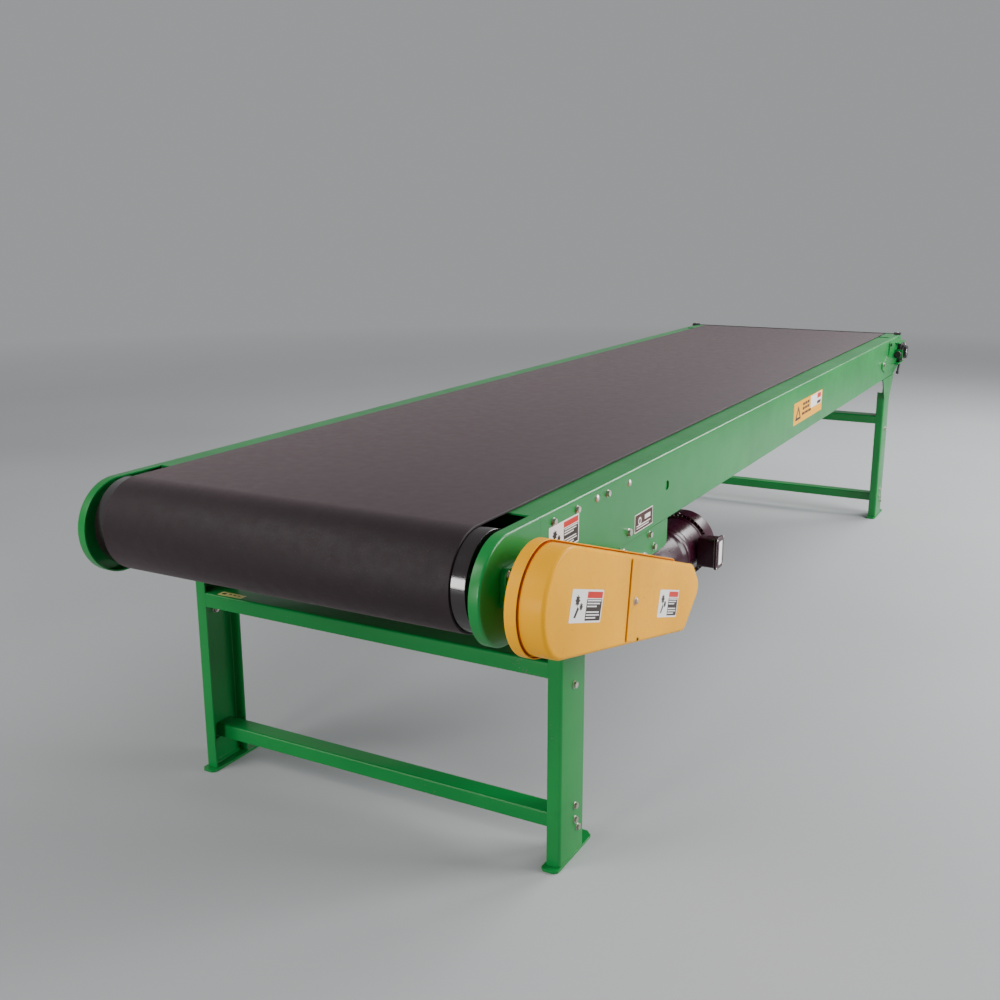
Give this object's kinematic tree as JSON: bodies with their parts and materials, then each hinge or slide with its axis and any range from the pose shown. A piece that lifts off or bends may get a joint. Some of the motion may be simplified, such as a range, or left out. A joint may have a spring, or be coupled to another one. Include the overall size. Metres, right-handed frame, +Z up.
{
  "type": "slider-bed belt conveyor section",
  "caption": "Slider-bed belt conveyor section on floor supports, with an end drive under a chain guard, worm reducer and motor, and a screw take-up at the tail.",
  "frame": {"origin": "centre of the footprint on the floor, under the middle of the bounding box", "axes": "+Y along the conveyor from the drive end to the tail end, +X towards the chain guard side, +Z up"},
  "size_m": [1.2432, 4.1894, 0.8803],
  "materials": {
    "frame_paint": "semi-gloss green enamel over formed steel",
    "guard_paint": "glossy yellow-orange enamel",
    "belt_cover": "matt brown-black belt cover with a woven texture",
    "pulley_enamel": "gloss black enamel",
    "black_paint": "satin black paint",
    "drive_paint": "very dark maroon machine enamel",
    "fan_plastic": "moulded black plastic",
    "bare_steel": "machined steel, lightly oiled",
    "zinc_steel": "zinc plated"
  },
  "bodies": {
    "frame": {"side_frame_left": "frame_paint", "side_frame_right": "frame_paint", "drive_end_plate_left": "frame_paint", "drive_end_plate_right": "frame_paint", "take_up_plate_left": "frame_paint", "take_up_plate_right": "frame_paint", "slider_bed": "frame_paint", "cross_brace_1": "frame_paint", "cross_brace_2": "frame_paint", "cross_brace_3": "frame_paint", "guard_standoff": "frame_paint", "reducer_bracket": "frame_paint", "leg_near_left": "frame_paint", "leg_near_right": "frame_paint", "leg_far_left": "frame_paint", "leg_far_right": "frame_paint", "upper_beam_near": "frame_paint", "upper_beam_far": "frame_paint", "lower_beam_near": "frame_paint", "lower_beam_far": "frame_paint", "guard_back_plate": "guard_paint", "guard_cover_front": "guard_paint", "guard_cover_rear": "guard_paint", "belt": "belt_cover", "tail_nip_strip": "black_paint", "gear_reducer": "drive_paint", "motor_adapter": "drive_paint", "motor_body": "drive_paint", "motor_fan_cover": "drive_paint", "conduit_box": "drive_paint", "drive_bearing_left": "frame_paint", "drive_bearing_right": "frame_paint", "roller_chain": "bare_steel", "snub_axle": "zinc_steel", "return_axle_1": "zinc_steel", "return_axle_2": "zinc_steel", "guard_latch_screw": "zinc_steel"},
    "drive_pulley_set": {"drive_pulley": "pulley_enamel", "drive_shaft": "bare_steel", "driven_sprocket": "bare_steel"},
    "take_up": {"tail_bearing_left": "black_paint", "tail_bearing_right": "black_paint", "take_up_screw_left": "black_paint", "take_up_screw_right": "black_paint"},
    "tail_pulley_set": {"tail_pulley": "pulley_enamel", "tail_shaft": "bare_steel"},
    "snub": {"snub_roller": "zinc_steel"},
    "return_1": {"return_roller_1": "zinc_steel"},
    "return_2": {"return_roller_2": "zinc_steel"},
    "reducer_output": {"reducer_output_shaft": "bare_steel", "drive_sprocket": "bare_steel"},
    "motor_rotor": {"motor_fan": "fan_plastic"},
    "foot_slide_near_left": {"foot_near_left": "frame_paint"},
    "foot_slide_near_right": {"foot_near_right": "frame_paint"},
    "foot_slide_far_left": {"foot_far_left": "frame_paint"},
    "foot_slide_far_right": {"foot_far_right": "frame_paint"}
  },
  "joints": [
    {"name": "drive_pulley_spin", "type": "hinge", "parent": "frame", "child": "drive_pulley_set", "pos_m": [-0.04735, -1.9737, 0.7568], "axis": [1, 0, 0], "continuous": true},
    {"name": "take_up_slide", "type": "slide", "parent": "frame", "child": "take_up", "axis": [0, 1, 0], "range_m": [-0.05, 0], "deforming": ["belt"]},
    {"name": "tail_pulley_spin", "type": "hinge", "parent": "take_up", "child": "tail_pulley_set", "pos_m": [-0.04735, 2.0123, 0.7856], "axis": [1, 0, 0], "continuous": true},
    {"name": "snub_roller_spin", "type": "hinge", "parent": "frame", "child": "snub", "pos_m": [-0.04735, -1.3754, 0.7132], "axis": [1, 0, 0], "continuous": true},
    {"name": "return_roller_1_spin", "type": "hinge", "parent": "frame", "child": "return_1", "pos_m": [-0.04735, -0.0147, 0.7132], "axis": [1, 0, 0], "continuous": true},
    {"name": "return_roller_2_spin", "type": "hinge", "parent": "frame", "child": "return_2", "pos_m": [-0.04735, 1.3053, 0.7132], "axis": [1, 0, 0], "continuous": true},
    {"name": "reducer_output_spin", "type": "hinge", "parent": "frame", "child": "reducer_output", "pos_m": [-0.04735, -1.3047, 0.5675], "axis": [1, 0, 0], "continuous": true},
    {"name": "motor_fan_spin", "type": "hinge", "parent": "frame", "child": "motor_rotor", "pos_m": [0.40265, -0.7822, 0.523], "axis": [0, 1, 0], "continuous": true},
    {"name": "foot_level_near_left", "type": "slide", "parent": "frame", "child": "foot_slide_near_left", "axis": [0, 0, -1], "range_m": [0, 0.03]},
    {"name": "foot_level_near_right", "type": "slide", "parent": "frame", "child": "foot_slide_near_right", "axis": [0, 0, -1], "range_m": [0, 0.03]},
    {"name": "foot_level_far_left", "type": "slide", "parent": "frame", "child": "foot_slide_far_left", "axis": [0, 0, -1], "range_m": [0, 0.03]},
    {"name": "foot_level_far_right", "type": "slide", "parent": "frame", "child": "foot_slide_far_right", "axis": [0, 0, -1], "range_m": [0, 0.03]}
  ],
  "couplings": [
    {"joint": "tail_pulley_spin", "follows": "drive_pulley_spin", "ratio": 1.375},
    {"joint": "snub_roller_spin", "follows": "drive_pulley_spin", "ratio": -4.5574},
    {"joint": "return_roller_1_spin", "follows": "drive_pulley_spin", "ratio": -4.5574},
    {"joint": "return_roller_2_spin", "follows": "drive_pulley_spin", "ratio": -4.5574},
    {"joint": "reducer_output_spin", "follows": "drive_pulley_spin", "ratio": 2},
    {"joint": "motor_fan_spin", "follows": "drive_pulley_spin", "ratio": 40}
  ]
}
